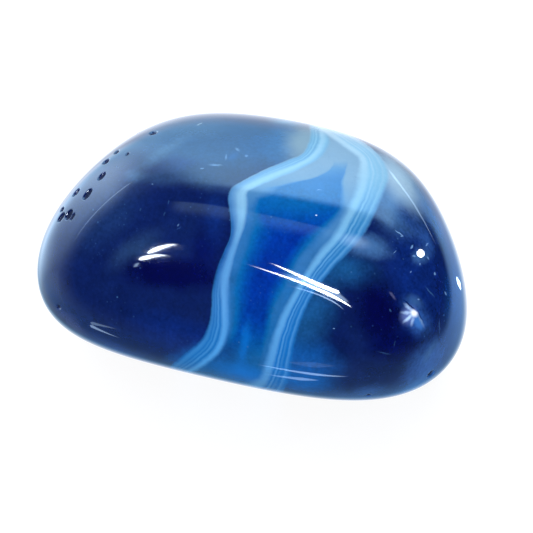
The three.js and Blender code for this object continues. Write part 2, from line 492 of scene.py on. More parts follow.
def seed_sphere():
    """A round start for the stone, with finer faces where pits go."""
    sphere = bmesh.new()
    bmesh.ops.create_icosphere(sphere, subdivisions=start_divisions, radius=1)
    spots = [(facing(turn, tilt), length / 2 / mean_reach) for turn, tilt, length, _, _ in open_pits]
    for spread in pit_divisions:
        near = []
        for edge in sphere.edges:
            middle = (edge.verts[0].co + edge.verts[1].co) / 2
            if any((middle - spot).length < half * spread for spot, half in spots):
                near.append(edge)
        bmesh.ops.subdivide_edges(sphere, edges=near, cuts=1, use_grid_fill=True)
        bmesh.ops.triangulate(sphere, faces=[face for face in sphere.faces if len(face.verts) > 3])
        for corner in sphere.verts:
            corner.co.normalize()
    mesh = bpy.data.meshes.new("agate_stone")
    sphere.to_mesh(mesh)
    sphere.free()
    return mesh


def pit_group():
    """How far inside one pit's mouth a point is: 0 at its lip and 1 over its floor."""
    nodes, given = new_group("open_pit", "GeometryNodeTree",
                             ("Position", "Mouth", "Long side", "Short side"), ("Length", "Width"))
    offset = nodes.vector("SUBTRACT", given["Position"], given["Mouth"])
    rough = nodes.add("ShaderNodeTexNoise",
                      {"Vector": given["Position"], "Scale": pit_grain_scale, "Detail": 2.0})
    along = nodes.over(nodes.dot(offset, given["Long side"]), given["Length"])
    across = nodes.over(nodes.dot(offset, given["Short side"]), given["Width"])
    reach = nodes.times(nodes.vector("LENGTH", nodes.joined(along, across)), 2.0)
    ragged = nodes.times_plus(nodes.minus(rough.outputs[0], 0.5), pit_raggedness, reach)
    near = nodes.math("LESS_THAN", nodes.vector("LENGTH", offset), pit_farthest * MM)
    nodes.give(nodes.result("Share"), nodes.times(nodes.ease(ragged, *pit_wall), near))
    return nodes.tree


def stone_tree(material):
    """Pushes a round start out to the worn flats, opens the pits and levels the resting flat."""
    tree = bpy.data.node_groups.new("worn_stone", "GeometryNodeTree")
    tree.interface.new_socket("Geometry", in_out="INPUT", socket_type="NodeSocketGeometry")
    tree.interface.new_socket("Geometry", in_out="OUTPUT", socket_type="NodeSocketGeometry")
    for name in ("Rim firmness", "Core height", "Pit depth share"):
        tree.interface.new_socket(name, in_out="INPUT", socket_type="NodeSocketFloat")
    for name in worn_flats:
        tree.interface.new_socket(name + " reach", in_out="INPUT", socket_type="NodeSocketFloat")
    nodes = Nodes(tree)
    given = nodes.add("NodeGroupInput").outputs
    along = nodes.vector("NORMALIZE", nodes.add("GeometryNodeInputPosition").outputs[0])

    held = 0.0
    for name, (normal, _) in zip(worn_flats, flats):
        lean = nodes.math("MAXIMUM", nodes.dot(along, normal), 0.0)
        share = nodes.over(lean, given[name + " reach"])
        held = nodes.plus(nodes.math("POWER", share, given["Rim firmness"]), held)
    root = nodes.over(-1.0, given["Rim firmness"])
    worn = nodes.scaled(along, nodes.math("POWER", held, root))

    pit = pit_group()
    dented = worn
    pitted = 0.0
    for turn, tilt, length, width, lean in open_pits:
        mouth, long_side, short_side, inwards = pit_frame(turn, tilt, lean)
        inputs = {"Position": worn, "Mouth": mouth, "Long side": long_side, "Short side": short_side,
                  "Length": length * MM, "Width": width * MM}
        share = nodes.group(pit, inputs)
        depth = nodes.times(share, given["Pit depth share"])
        dented = nodes.vector("ADD", dented, nodes.scaled(inwards * width * MM, depth))
        pitted = nodes.math("MAXIMUM", share, pitted)

    lifted = nodes.vector("ADD", dented, nodes.joined(z=given["Core height"]))
    placed = nodes.add("ShaderNodeSeparateXYZ", {0: lifted}).outputs
    levelled = nodes.joined(placed["X"], placed["Y"], nodes.math("MAXIMUM", placed["Z"], 0.0))
    marked = nodes.add("GeometryNodeStoreNamedAttribute", {"Geometry": given["Geometry"], "Name": "pitted"},
                       data_type="FLOAT", domain="POINT")
    nodes.give(marked.inputs["Value"], pitted)
    moved = nodes.add("GeometryNodeSetPosition", {"Geometry": marked.outputs[0], "Position": levelled})
    smooth = nodes.add("GeometryNodeSetShadeSmooth", {"Geometry": moved.outputs[0]})
    whole = nodes.add("GeometryNodeRealizeInstances", {"Geometry": smooth.outputs[0]})
    dressed = nodes.add("GeometryNodeSetMaterial", {"Geometry": whole.outputs[0], "Material": material})
    nodes.give(nodes.add("NodeGroupOutput").inputs["Geometry"], dressed.outputs[0])
    return tree


def set_input(modifier, name, value):
    """Sets a Geometry Nodes modifier's input by its socket's identifier."""
    items = modifier.node_group.interface.items_tree
    socket = next(item for item in items if item.name == name and item.in_out == "INPUT")
    modifier[socket.identifier] = value


def make_stone(material):
    """The finished stone as a plain mesh, inside the box of the solid that it stands for."""
    start = show("agate_start", seed_sphere())
    worn = start.modifiers.new("worn", "NODES")
    worn.node_group = stone_tree(material)
    set_input(worn, "Rim firmness", float(rim_firmness))
    set_input(worn, "Core height", core_height * MM)
    set_input(worn, "Pit depth share", pit_depth_share)
    for name, (_, _, reach) in worn_flats.items():
        set_input(worn, name + " reach", reach * MM)
    shown = start.evaluated_get(bpy.context.evaluated_depsgraph_get())
    mesh = bpy.data.meshes.new_from_object(shown)
    bpy.data.objects.remove(start)

    corners = [corner.co for corner in mesh.vertices]
    low = Vector(min(corner[i] for corner in corners) for i in range(3))
    high = Vector(max(corner[i] for corner in corners) for i in range(3))
    solid_low, solid_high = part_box("tumbled_agate")
    shrink = [(solid_high[i] - solid_low[i]) / (high[i] - low[i]) for i in range(3)]
    move = Vector(solid_low[i] - low[i] * shrink[i] for i in range(3))
    fitted = Matrix.Translation(move) @ Matrix.Diagonal((*shrink, 1))
    mesh.transform(fitted)
    return show("agate_stone", mesh), fitted @ Vector((0, 0, core_height * MM))


# Looking at the stone through the photograph

def pixel_offset(pixel):
    """A pixel's place on the picture plane through the core, in metres right and up of its middle."""
    middle = picture_size / 2
    return Vector(((pixel[0] - middle), (middle - pixel[1]))) / pixels_per_mm * MM


def make_camera(core):
    aside = pixel_offset(core_pixel)
    place = core + to_camera * view_distance * MM - picture_right * aside.x - picture_up * aside.y
    data = bpy.data.cameras.new("camera")
    data.sensor_width = sensor_width
    data.lens = pixels_per_mm * view_distance / picture_size * sensor_width
    data.clip_start = 0.01
    camera = show("camera", data)
    turned = Matrix((picture_right, picture_up, to_camera)).transposed().to_4x4()
    camera.matrix_world = Matrix.Translation(place) @ turned
    bpy.context.scene.camera = camera
    return place


class Picture:
    """Finds what each pixel of the photograph shows on the stone."""

    def __init__(self, stone, eye):
        self.mesh = stone.data
        self.eye = eye
        self.surface = BVHTree.FromPolygons([corner.co for corner in self.mesh.vertices],
                                            [face.vertices for face in self.mesh.polygons])

    def hit(self, pixel):
        """The surface point under a pixel, and the smooth normal there."""
        aside = pixel_offset(pixel)
        way = picture_right * aside.x + picture_up * aside.y - to_camera * view_distance * MM
        point, normal, face, _ = self.surface.ray_cast(self.eye, way.normalized())
        corners = [self.mesh.vertices[i] for i in self.mesh.polygons[face].vertices]
        weights = [1 / ((corner.co - point).length + 1e-6) for corner in corners]
        smooth = Vector()
        for corner, weight in zip(corners, weights):
            smooth += corner.normal * weight
        return point, smooth.normalized()

    def place(self, pixel):
        """A pixel's place on the stone, in millimetres right and up of the core."""
        aside = pixel_offset(pixel)
        way = picture_right * aside.x + picture_up * aside.y - to_camera * view_distance * MM
        point = self.surface.ray_cast(self.eye, way.normalized())[0] or self.eye + way
        offset = (point - core) / MM
        return Vector((offset.dot(picture_right), offset.dot(picture_up)))

    def mirrored(self, pixel):
        """The surface point under a pixel, and the way in which the polish looks from there."""
        point, normal = self.hit(pixel)
        way = (point - self.eye).normalized()
        return point, way.reflect(normal)


# The studio, whose lights are placed by where the polish mirrors them in the photograph

# What the stone mirrors: a bright tent over and behind it, and a dim second panel in front of that. Each
# edge has two pixels on it, a pixel on its inner side, and how soft it is.
tent_front_edge = ((190, 184), (330, 203.5), (200, 150), 0.07)
tent_left_edge = ((131, 192), (80, 234), (80, 200), 0.24)
tent_dim_edge = ((150, 160), (216, 187), (200, 150), 0.1)
panel_top_edge = ((177, 202), (320, 227), (230, 212), 0.012)
panel_low_edge = ((177, 211.5), (320, 235), (230, 205), 0.06)
panel_left_edge = ((176, 201), (180, 222), (230, 212), 0.02)

# How brightly each part glows. The tent is dimmest at its rim near level and brightest overhead.
tent_glow_level = 0.85
tent_glow_overhead = 3.4
tent_overhead_power = 1.8
tent_boost_left = 2.7
tent_dim_share = 0.55
tent_low_left_share = 0.4
panel_glow = 0.85
front_glow = 0.02
ground_glow = 0.27
rim_glow = 1.3
backdrop_glow = 1.0

# Towards the camera the tent's left side dims, by its slope away from the camera, between these limits.
left_slope_level = 0.85
left_slopes = (1.7, 0.8)
left_slope_limits = (0.12, 2.3)

# On the right the light round the rim dims to these shares: a little way out, farther out and low down.
rim_right_share = 0.6
rim_far_right_share = 0.32
rim_low_right_share = 0.75

# Where these parts start and end, by how far a direction points to the picture's right, up it, away from the
# camera or above level. The first number is where the change starts, and the second where it is complete.
tent_left_from = (0.0, -0.3)
tent_low_left = (0.1, -0.3)
tent_right_end = (0.74, 0.62)
tent_boosted = (-0.35, -0.7)
tent_steeper = (-0.4, -0.7)
tent_sloping = (-0.1, -0.35)
ground_below = (-0.25, -0.85)
rim_away = (0.7, 1.0)
rim_up = (-0.9, 0.2)
rim_right = (0.2, 0.55)
rim_far_right = (0.48, 0.62)
rim_low = (0.12, -0.05)
rim_low_right = (0.15, 0.4)
sheen_from_left = (-0.6, -0.2)
sheen_to_right = (-0.2, 0.2)
sheen_of_ground = (0.85, 0.5)
sheen_of_rim = (0.9, 0.99)
sheen_of_upper_rim = (0.75, 0.97), (-0.1, 0.2)
sheen_of_right_rim = (0.2, 0.5), (0.2, 0.6), (0.3, 0.0)

# The colours in which the polish mirrors all but the narrow lamps: on its left, in its middle and on its
# right, along its rim and the lower right of it, and from the ground. The bright lamps and the faint ones
# have their own.
sheen_left = (0.64, 0.91, 1.18)
sheen_middle = (0.52, 0.96, 1.32)
sheen_right = (0.46, 0.9, 1.34)
rim_colour = (0.86, 0.95, 1.1)
right_rim_colour = (0.44, 0.82, 1.6)
ground_colour = (0.4, 0.82, 1.4)
lamp_colour = (0.85, 0.97, 1.12)
faint_lamp_colour = (0.6, 0.86, 1.2)
faint_lamp_glow = 20

# How much of the table's brightness is its own, as on a lit table, which leaves only a faint shadow.
table_own_glow = 0.93
table_half_width = 1.5
table_brightness = 0.8
table_roughness = 0.5

# Each narrow lamp as it shows in the photograph: the pixels of its start, its middle where it bends and its
# end, its width, its glow, and the shares of its length over which its start and its end taper.
lamps = {
    "left upper": ((146.5, 254.5), (162, 247.6), (179, 243.9), 5.0, 110, 0.4, 0.8),
    "left lower": ((138.5, 260.4), (153, 256.6), (169, 255), 4.4, 110, 0.3, 0.9),
    "left end": ((133, 267), (136, 265), (140, 262.5), 4.0, 8, 0.5, 0.5),
    "middle upper": ((269, 262), (306, 278.6), (339.5, 292.5), 4.8, 110, 0.5, 0.04),
    "middle lower": ((245, 264), (302, 283.1), (352, 307.5), 4.4, 110, 0.6, 0.5),
    "middle faint": ((285, 285), (312, 292.9), (345, 311), 2.4, 14, 0.6, 0.5),
    "middle glow": ((276, 271), (310, 284), (350, 303), 16.0, 8.0, 0.7, 0.5),
    "right spot": ((420, 248.5), None, (421, 257.5), 8.0, 110, 0.3, 0.3),
    "right rim": ((456.3, 276.5), None, (461, 290), 3.4, 14, 0.5, 0.5),
    "low left upper": ((90, 322.5), None, (120, 329.8), 3.2, 2.2, 0.1, 0.9),
    "low left lower": ((90, 325.5), None, (121, 338.4), 3.2, 3.8, 0.1, 0.9),
    "low middle upper": ((252, 363), None, (349, 376.5), 3.6, 6.0, 0.5, 0.6),
    "low middle lower": ((266, 374), None, (319, 380.4), 3.2, 3.6, 0.5, 0.4),
    "low middle faint": ((284, 361.5), None, (336, 366), 6.0, 0.8, 0.4, 0.5),
    "left seam": ((133, 181), (101, 207), (73, 243), 1.6, 4.0, 0.1, 0.3),
    "right seam": ((388, 168), (413, 203), (438, 248), 1.8, 3.0, 0.1, 0.4),
}

# How a lamp's width grows from its pointed ends, how soft its edges are, as a share of half its width, and
# how far past its ends it is still lit.
lamp_taper_power = 0.7
lamp_softness = 0.35
lamp_margin = 0.01

# The soft light from the camera's side: its width, its distance from the core, its glow and how far above
# the camera it is.
fill_width = 500.0
fill_distance = 450.0
fill_glow = 2.0
fill_rise = 0.3


def lamp_group():
    """How brightly one narrow lamp shines from a direction: a band along a circle, pointed at its ends."""
    nodes, given = new_group("narrow_lamp", "ShaderNodeTree", ("Way", "Axis", "Start", "Along", "Middle"),
                             ("Offset", "Half width", "Reach", "Start taper", "End taper", "Glow"))
    across = nodes.minus(nodes.dot(given["Way"], given["Axis"]), given["Offset"])
    across = nodes.math("ABSOLUTE", nodes.over(across, given["Half width"]))
    along = nodes.dot(nodes.vector("SUBTRACT", given["Way"], given["Start"]), given["Along"])
    opening = nodes.math("MINIMUM", nodes.over(along, given["Start taper"]), 1.0)
    closing = nodes.math("MINIMUM", nodes.over(nodes.minus(1.0, along), given["End taper"]), 1.0)
    narrowing = nodes.math("MAXIMUM", nodes.times(opening, closing), 0.0)
    profile = nodes.math("POWER", narrowing, lamp_taper_power)
    inside = nodes.ease(nodes.minus(profile, across), 0.0, lamp_softness)
    near = nodes.math("GREATER_THAN", nodes.dot(given["Way"], given["Middle"]), given["Reach"])
    nodes.give(nodes.result("Glow"), nodes.times(nodes.times(inside, near), given["Glow"]))
    return nodes.tree


def lamp_inputs(picture, start, bend, end, width, glow, start_taper, end_taper):
    """What one lamp's group needs, from the pixels that mirror it."""
    middle = Vector(bend or ((start[0] + end[0]) / 2, (start[1] + end[1]) / 2))
    aside = Vector((end[1] - start[1], start[0] - end[0])).normalized() * width / 2
    first, way, last = (picture.mirrored(pixel)[1] for pixel in (start, middle, end))
    breadth = picture.mirrored(middle + aside)[1] - picture.mirrored(middle - aside)[1]
    length = last - first
    axis = (way - first).cross(last - first) if bend else first.cross(last)
    axis.normalize()
    # The lamp's ends are cut along its breadth, which the stone's curve mirrors at a slant.
    along = (length - axis * length.dot(breadth) / axis.dot(breadth)) / length.length_squared
    farthest = min(way.dot(first), way.dot(last))
    return {"Axis": axis, "Offset": axis.dot(first), "Start": first, "Along": along, "Middle": way,
            "Half width": abs(axis.dot(breadth)) / 2, "Reach": farthest - lamp_margin,
            "Start taper": start_taper, "End taper": end_taper, "Glow": glow}


class Sky:
    """The light that comes from all round: a bright tent with a dark opening in front, and narrow lamps."""

    def __init__(self, picture):
        world = bpy.data.worlds.new("light_tent")
        world.use_nodes = True
        world.node_tree.nodes.clear()
        bpy.context.scene.world = world
        nodes = Nodes(world.node_tree)
        self.nodes = nodes
        self.picture = picture
        self.way = nodes.add("ShaderNodeTexCoord").outputs["Generated"]
        self.right = nodes.dot(self.way, picture_right)
        self.up = nodes.dot(self.way, picture_up)
        self.away = nodes.dot(self.way, -to_camera)
        self.height = nodes.part(self.way, "Z")
        self.low = nodes.ease(self.height, *ground_below)

    def inside(self, *pixels, softness):
        """1 on the inner side of an edge and 0 past it."""
        first, second, inner = (self.picture.mirrored(pixel)[1] for pixel in pixels)
        inwards = first.cross(second).normalized()
        if inwards.dot(inner) < 0:
            inwards.negate()
        return self.nodes.ease(self.nodes.dot(self.way, inwards), -softness, softness)

    def edged(self, *edges):
        """1 on the inner side of every one of these edges."""
        share = 1.0
        for *pixels, softness in edges:
            share = self.nodes.times(self.inside(*pixels, softness=softness), share)
        return share

    def tent(self):
        """How much of each direction is tent."""
        nodes = self.nodes
        full = nodes.times_plus(self.edged(tent_dim_edge), 1 - tent_dim_share, tent_dim_share)
        over = nodes.times(self.edged(tent_front_edge), full)
        left = nodes.times(self.edged(tent_left_edge), nodes.ease(self.right, *tent_left_from))
        left = nodes.times(left, nodes.ease(self.up, *tent_low_left, 1.0, tent_low_left_share))
        return nodes.times(nodes.math("MAXIMUM", over, left), nodes.ease(self.right, *tent_right_end))

    def tent_glow(self):
        """How brightly the tent glows in each direction."""
        nodes = self.nodes
        raised = nodes.math("POWER", nodes.math("MAXIMUM", self.height, 0.0), tent_overhead_power)
        glow = nodes.times_plus(raised, tent_glow_overhead, tent_glow_level)
        glow = nodes.times(glow, nodes.ease(self.right, *tent_boosted, 1.0, tent_boost_left))
        steepness = nodes.ease(self.right, *tent_steeper, *left_slopes)
        slope = nodes.times_plus(self.away, steepness, left_slope_level)
        least, most = left_slope_limits
        slope = nodes.math("MINIMUM", nodes.math("MAXIMUM", slope, least), most)
        return nodes.blend(nodes.ease(self.right, *tent_sloping), glow, nodes.times(glow, slope))

    def rim(self):
        """The light round the rim of the stone, from behind it."""
        nodes, right, up = self.nodes, self.right, self.up
        rim = nodes.times(nodes.ease(self.away, *rim_away), nodes.ease(up, *rim_up))
        low_right = nodes.times(nodes.ease(up, *rim_low), nodes.ease(right, *rim_low_right))
        for dimming in (nodes.ease(right, *rim_right, 1.0, rim_right_share),
                        nodes.ease(right, *rim_far_right, 1.0, rim_far_right_share),
                        nodes.times_plus(low_right, rim_low_right_share - 1, 1.0)):
            rim = nodes.times(rim, dimming)
        return nodes.times(rim, rim_glow)

    def light(self):
        """How bright each direction is, but for the narrow lamps."""
        nodes = self.nodes
        panel = self.edged(panel_top_edge, panel_low_edge, panel_left_edge)
        front = nodes.times_plus(panel, panel_glow, front_glow)
        light = nodes.blend(self.tent(), front, self.tent_glow())
        light = nodes.blend(self.low, light, ground_glow)
        return nodes.math("MAXIMUM", light, self.rim())

    def shine(self):
        """The coloured light of all the narrow lamps."""
        nodes = self.nodes
        shine = (0.0, 0.0, 0.0)
        group = lamp_group()
        for lamp in lamps.values():
            inputs = {"Way": self.way, **lamp_inputs(self.picture, *lamp)}
            colour = lamp_colour if inputs["Glow"] > faint_lamp_glow else faint_lamp_colour
            shine = nodes.vector("ADD", shine, nodes.scaled(colour, nodes.group(group, inputs)))
        return shine

    def sheen(self):
        """The colour in which the polish mirrors each direction."""
        nodes, right, up, away = self.nodes, self.right, self.up, self.away
        tint = nodes.mix(nodes.ease(right, *sheen_from_left), sheen_left, sheen_middle)
        tint = nodes.mix(nodes.ease(right, *sheen_to_right), tint, sheen_right)
        tint = nodes.mix(nodes.times(self.low, nodes.ease(away, *sheen_of_ground)), tint, ground_colour)
        outwards, upwards = sheen_of_upper_rim
        upper_rim = nodes.times(nodes.ease(away, *outwards), nodes.ease(up, *upwards))
        rim = nodes.math("MAXIMUM", upper_rim, nodes.ease(away, *sheen_of_rim))
        tint = nodes.mix(rim, tint, rim_colour)
        rightwards, outwards, downwards = sheen_of_right_rim
        right_rim = nodes.times(nodes.ease(right, *rightwards), nodes.ease(away, *outwards))
        right_rim = nodes.times(right_rim, nodes.ease(up, *downwards))
        return nodes.mix(right_rim, tint, right_rim_colour)

    def hang(self):
        """Lights the scene, with a plain backdrop for the camera."""
        nodes = self.nodes
        ray = nodes.add("ShaderNodeLightPath").outputs
        sheen = nodes.mix(ray["Is Glossy Ray"], (1.0, 1.0, 1.0), self.sheen())
        lit = nodes.vector("ADD", nodes.scaled(sheen, self.light()), self.shine())
        shown = nodes.mix(ray["Is Camera Ray"], lit, (backdrop_glow, backdrop_glow, backdrop_glow))
        sky = nodes.add("ShaderNodeBackground", {"Color": shown}).outputs[0]
        nodes.give(nodes.add("ShaderNodeOutputWorld").inputs["Surface"], sky)


def make_fill():
    """A broad soft light from the camera's side, which the polish doesn't mirror."""
    data = bpy.data.lights.new("front fill", "AREA")
    data.shape = "DISK"
    data.size = fill_width * MM
    data.energy = fill_glow * math.pi * data.size ** 2
    way = (to_camera + picture_up * fill_rise).normalized()
    turned = Matrix((picture_right, way.cross(picture_right), way)).transposed().to_4x4()
    fill = show("front fill", data)
    fill.matrix_world = Matrix.Translation(core + way * fill_distance * MM) @ turned
    fill.visible_camera = False
    fill.visible_glossy = False


def make_floor():
    """The pale table."""
    mesh = bpy.data.meshes.new("table")
    half = table_half_width
    corners = [(-half, -half, 0), (half, -half, 0), (half, half, 0), (-half, half, 0)]
    mesh.from_pydata(corners, [], [(0, 1, 2, 3)])
    material = bpy.data.materials.new("pale_table")
    material.use_nodes = True
    shader = material.node_tree.nodes["Principled BSDF"]
    lit = table_brightness * (1 - table_own_glow)
    shader.inputs["Base Color"].default_value = (lit, lit, lit, 1)
    shader.inputs["Roughness"].default_value = table_roughness
    shader.inputs["Emission Color"].default_value = (1, 1, 1, 1)
    shader.inputs["Emission Strength"].default_value = table_own_glow * backdrop_glow
    mesh.materials.append(material)
    floor = show("table", mesh)
    floor.visible_glossy = False


# The bands inside the stone

def smooth_course(places):
    """A smooth line through places, run on straight past both ends."""
    places = numpy.array([tuple(place) for place in places])
    run_on = 6.0
    before = places[0] + (places[0] - places[1]) * run_on
    after = places[-1] + (places[-1] - places[-2]) * run_on
    knots = numpy.vstack([2 * places[0] - places[1], places, 2 * places[-1] - places[-2]])
    course = [before]
    for a, b, c, d in zip(knots, knots[1:], knots[2:], knots[3:]):
        for t in (0.0, 0.2, 0.4, 0.6, 0.8):
            course.append(b + (c - a) * t / 2 + (2 * a - 5 * b + 4 * c - d) * t ** 2 / 2
                          + (3 * b - 3 * c + d - a) * t ** 3 / 2)
    course += [places[-1], after]
    return numpy.array(course)


def side_distance(places, course):
    """How far each place is from a course that runs down the picture: above 0 on its right side."""
    nearest = numpy.full(len(places), numpy.inf)
    signed = numpy.zeros(len(places))
    for start, end in zip(course, course[1:]):
        step = end - start
        offset = places - start
        share = numpy.clip(offset @ step / (step @ step), 0, 1)
        gap = numpy.linalg.norm(offset - share[:, None] * step, axis=1)
        side = numpy.sign(step[0] * offset[:, 1] - step[1] * offset[:, 0])
        closer = gap < nearest
        nearest = numpy.where(closer, gap, nearest)
        signed = numpy.where(closer, gap * side, signed)
    return signed


def band_places(mesh):
    """Each corner's place right and up of the core, in millimetres, as the bands run through the stone.

    The bands run straight away from the side that the photograph shows, and drift aside at the back.
    """
    corners = numpy.empty(len(mesh.vertices) * 3)
    mesh.vertices.foreach_get("co", corners)
    offset = (corners.reshape(-1, 3) - numpy.array(core)) / MM
    right, up, towards = (offset @ numpy.array(way) for way in (picture_right, picture_up, to_camera))
    behind = numpy.clip((-towards - drift_start) / drift_depth, 0, 1)
    behind = behind ** 2 * (3 - 2 * behind)
    right_drift = 1.6 * numpy.sin(0.35 * up + 1.0) + 0.16 * (right - 5) + 1.2
    up_drift = 1.1 * numpy.sin(0.45 * right)
    return numpy.stack([right + behind * right_drift, up + behind * up_drift], axis=1)


def measure_bands(stone, picture):
    """Stores each corner's distance from each band edge, in millimetres, for the stone's material."""
    places = band_places(stone.data)
    for name, pixels in band_edges.items():
        course = smooth_course([picture.place(pixel) for pixel in pixels])
        stored = stone.data.attributes.new(name, "FLOAT", "POINT")
        stored.data.foreach_set("value", side_distance(places, course))


# The stone's finish

# The vein from its clearest to its milkiest, and the body from its darkest to its cloudiest
vein_colours = [(0.0, (0.0003, 0.018, 0.185)), (0.25, (0.0006, 0.043, 0.215)), (0.45, (0.002, 0.076, 0.235)),
                (0.6, (0.018, 0.1, 0.265)), (0.75, (0.042, 0.135, 0.28)), (0.9, (0.078, 0.165, 0.274)),
                (1.0, (0.108, 0.188, 0.275))]
body_colours = [(0.0, (0.0008, 0.003, 0.042)), (0.4, (0.002, 0.0075, 0.056)), (0.7, (0.004, 0.014, 0.08)),
                (1.0, (0.012, 0.045, 0.14))]
# Painted shade: the pits' floors are darkened as the shade in them.
painted_pit_shade = (0.003, 0.009, 0.038)

# What changes up the stone is given by its height above the core in millimetres, from the foot up.
height_range = (-12, 12)

# Each bundle's bright and dark lines, by height. They grow paler towards the top: partly the bands' own
# colour, partly painted light from above.
right_bright = [(-10, (0.06, 0.22, 0.47)), (-3, (0.07, 0.23, 0.44)), (3, (0.11, 0.27, 0.43)),
                (7, (0.16, 0.29, 0.39)), (10, (0.22, 0.34, 0.43))]
right_dark = [(-10, (0.002, 0.1, 0.34)), (-3, (0.01, 0.1, 0.3)), (3, (0.02, 0.13, 0.3)),
              (7, (0.11, 0.25, 0.37)), (10, (0.14, 0.28, 0.4))]
left_bright = [(-9, (0.05, 0.23, 0.5)), (-4, (0.07, 0.22, 0.45)), (1, (0.07, 0.21, 0.41)),
               (4, (0.14, 0.3, 0.45)), (6, (0.16, 0.31, 0.44)), (11, (0.15, 0.28, 0.38))]
left_dark = [(-9, (0.003, 0.1, 0.32)), (-4, (0.012, 0.1, 0.29)), (0, (0.004, 0.05, 0.2)),
             (3, (0.012, 0.08, 0.25)), (6, (0.05, 0.15, 0.31)), (11, (0.06, 0.18, 0.29))]

# Where each bundle starts inwards and ends outwards, and where it is complete, by the place across it
left_bundle_ends = (-0.2, 1.1)
right_bundle_ends = (-0.26, 1.05)
bundle_complete = (0.08, 0.86)

# The left bundle's lines drift across it low down, and are soft between these two heights.
left_drift = [(-9.5, 0.26), (-7.5, 0.18), (-5.5, 0.05), (-3.5, 0.0)]
left_soft_from = (-4.5, -1.5)
left_soft_to = (10.0, 6.0)

# The milk along each side of the vein: how far across the vein it reaches from the left, over what width it
# thickens, and how milky it gets. The last is how milky the whole vein is.
left_milk = ([(2.8, 0.44), (4.2, 0.32), (5.4, 0.26), (6.2, 0.2), (6.7, 0.26), (7.2, 0.37), (8.3, 0.52)],
             [(3.5, 0.42), (5.4, 0.16), (8.3, 0.14)],
             [(-9, 0.45), (-4, 0.56), (-1, 0.6), (2.8, 0.6), (5.6, 0.74), (6.9, 0.95), (8.3, 1.0)])
right_milk = ([(-2, 0.6), (2, 0.65), (4.4, 0.72), (5.6, 0.64), (6.9, 0.54), (8.3, 0.52)],
              [(3.5, 0.26), (5.6, 0.18), (6.9, 0.14)],
              [(-9, 0.5), (-3, 0.56), (2.5, 0.7), (4, 0.72), (5.6, 0.88), (6.9, 0.97), (8.3, 1.0)])
vein_milk = [(-9, 0.45), (-6, 0.12), (-3, 0.0), (1.8, 0.0), (2.8, 0.13), (4.4, 0.37), (6.9, 0.55),
             (7.9, 0.75), (8.7, 1.0)]

# The grain, the broader mottling and the fibres that run down the stone: size, detail, stretch and strength
grains = [(0.3, 3.0, (1, 1, 1), 0.45), (1.2, 3.0, (1, 1, 1), 0.38), (0.35, 2.0, (1, 1, 0.12), 0.2)]

# The dust inside the stone: its spacing, its size, its strength and its colour
dusts = [(0.9, 0.12, 0.9, "lavender"), (0.45, 0.1, 0.5, "mist")]

# How much stronger the grain gets along the stone to its right end, in millimetres, and how it fades where
# the colour is milky: by the green in it, and down to a share
grain_from_middle = (9, 15)
grain_strengths = (0.75, 1.2)
milky_green = (0.13, 0.02)
milky_grain_share = 0.12

# The waves of the bundles' lines: their size, and their height as a share of the bundle
line_wave_size = 0.8
line_wave_share = 0.05

# Where the body takes over from the vein and the bundles, by the place across each bundle
body_past_left = (0.96, 1.12)
body_past_right = (0.95, 1.1)

# The size and the reach of the ragged edges of the marks, in millimetres
mark_ragged_size = 0.35
mark_ragged_reach = 0.05

# The polish, the rough pits, and the part of a pit's depth over which its painted shade starts
polish_roughness = 0.03
pit_roughness = 0.93
pit_floor = (0.25, 0.8)
stone_ior = 1.54


def stone_noise(nodes, position, size, detail=2.0, stretch=(1, 1, 1)):
    """Noise from -1 to 1 whose marks are about size millimetres across."""
    spread = nodes.vector("MULTIPLY", position, stretch)
    cloudy = nodes.add("ShaderNodeTexNoise", {"Vector": spread, "Scale": 1 / (size * MM), "Detail": detail})
    return nodes.times_plus(cloudy.outputs[0], 2.0, -1.0)


def spread_clouds_and_painted_light(stone, picture):
    """Stores the joint colour of the clouds and the painted light at each corner, and as its alpha how much
    of the stone shows.
    """
    mesh = stone.data
    size, reach, depth_reach = 1.7, 0.3, 12.0
    noise.seed_set(cloud_and_painted_light_seed)
    places = []
    for corner in mesh.vertices:
        aside = noise.noise_vector(corner.co / (size * MM))
        aside += noise.noise_vector(corner.co / (size * 0.4 * MM)) * 0.5
        places.append(corner.co / MM + aside * reach)
    places = numpy.array(places)
    colour = numpy.zeros((len(places), 3))
    clear = numpy.ones((len(places), 1))
    for pixel, half_length, half_width, lean, softness, strength, name in clouds.values():
        offset = places - numpy.array(picture.hit(pixel)[0]) / MM
        along, across = leaning(lean)
        parts = [offset @ along * pixels_per_mm / half_length, offset @ across * pixels_per_mm / half_width,
                 offset @ to_camera / depth_reach]
        share = numpy.clip((1 - numpy.linalg.norm(parts, axis=0)) / softness, 0, 1)
        share = (strength * share ** 2 * (3 - 2 * share))[:, None]
        colour = colour * (1 - share) + share * numpy.array(colours[name])
        clear = clear * (1 - share)
    stored = mesh.attributes.new("clouds", "FLOAT_COLOR", "POINT")
    stored.data.foreach_set("color", numpy.hstack([colour, clear]).ravel())


def warped(nodes, position, size, reach):
    """The position, pushed up to reach millimetres aside by noise, for ragged edges."""
    ragged = nodes.add("ShaderNodeTexNoise", {"Vector": position, "Scale": 1 / (size * MM), "Detail": 2.0})
    aside = nodes.vector("SUBTRACT", ragged.outputs["Color"], (0.5, 0.5, 0.5))
    return nodes.vector("ADD", position, nodes.scaled(aside, 4 * reach * MM))


